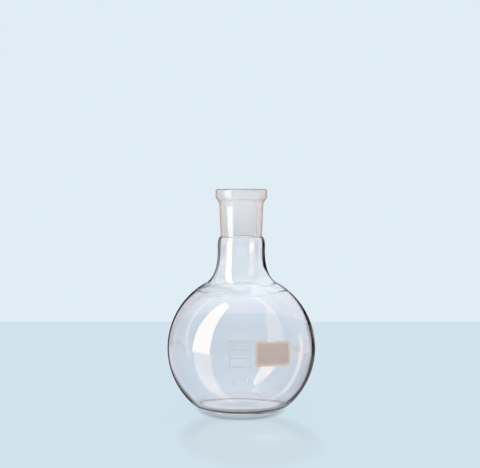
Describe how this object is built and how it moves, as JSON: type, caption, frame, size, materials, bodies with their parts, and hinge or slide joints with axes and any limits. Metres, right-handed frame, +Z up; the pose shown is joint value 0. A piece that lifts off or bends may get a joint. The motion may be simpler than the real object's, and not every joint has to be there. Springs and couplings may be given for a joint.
{
  "type": "flat bottom flask",
  "caption": "Laboratory boiling flask with a spherical bulb, flat base, short neck and ground taper socket, printed with a writing patch and a capacity.",
  "frame": {"origin": "centre of the base, on the surface that the flask stands on", "axes": "+Z up along the axis of the bulb, neck and joint; the prints face -Y"},
  "size_m": [0.105, 0.1054, 0.157],
  "materials": {
    "clear_glass": "clear fire-polished borosilicate glass",
    "ground_glass": "ground, translucent",
    "patch_ink": "matt fired ceramic ink that takes pencil",
    "line_ink": "thin pale fired ceramic ink"
  },
  "bodies": {
    "root": {"flask_body": "clear_glass", "ground_joint_socket": "ground_glass", "writing_patch": "patch_ink", "print_panel": "line_ink", "capacity_digit_hundreds": "line_ink", "capacity_digit_tens": "line_ink", "capacity_digit_units": "line_ink", "capacity_tick": "line_ink"}
  },
  "joints": []
}
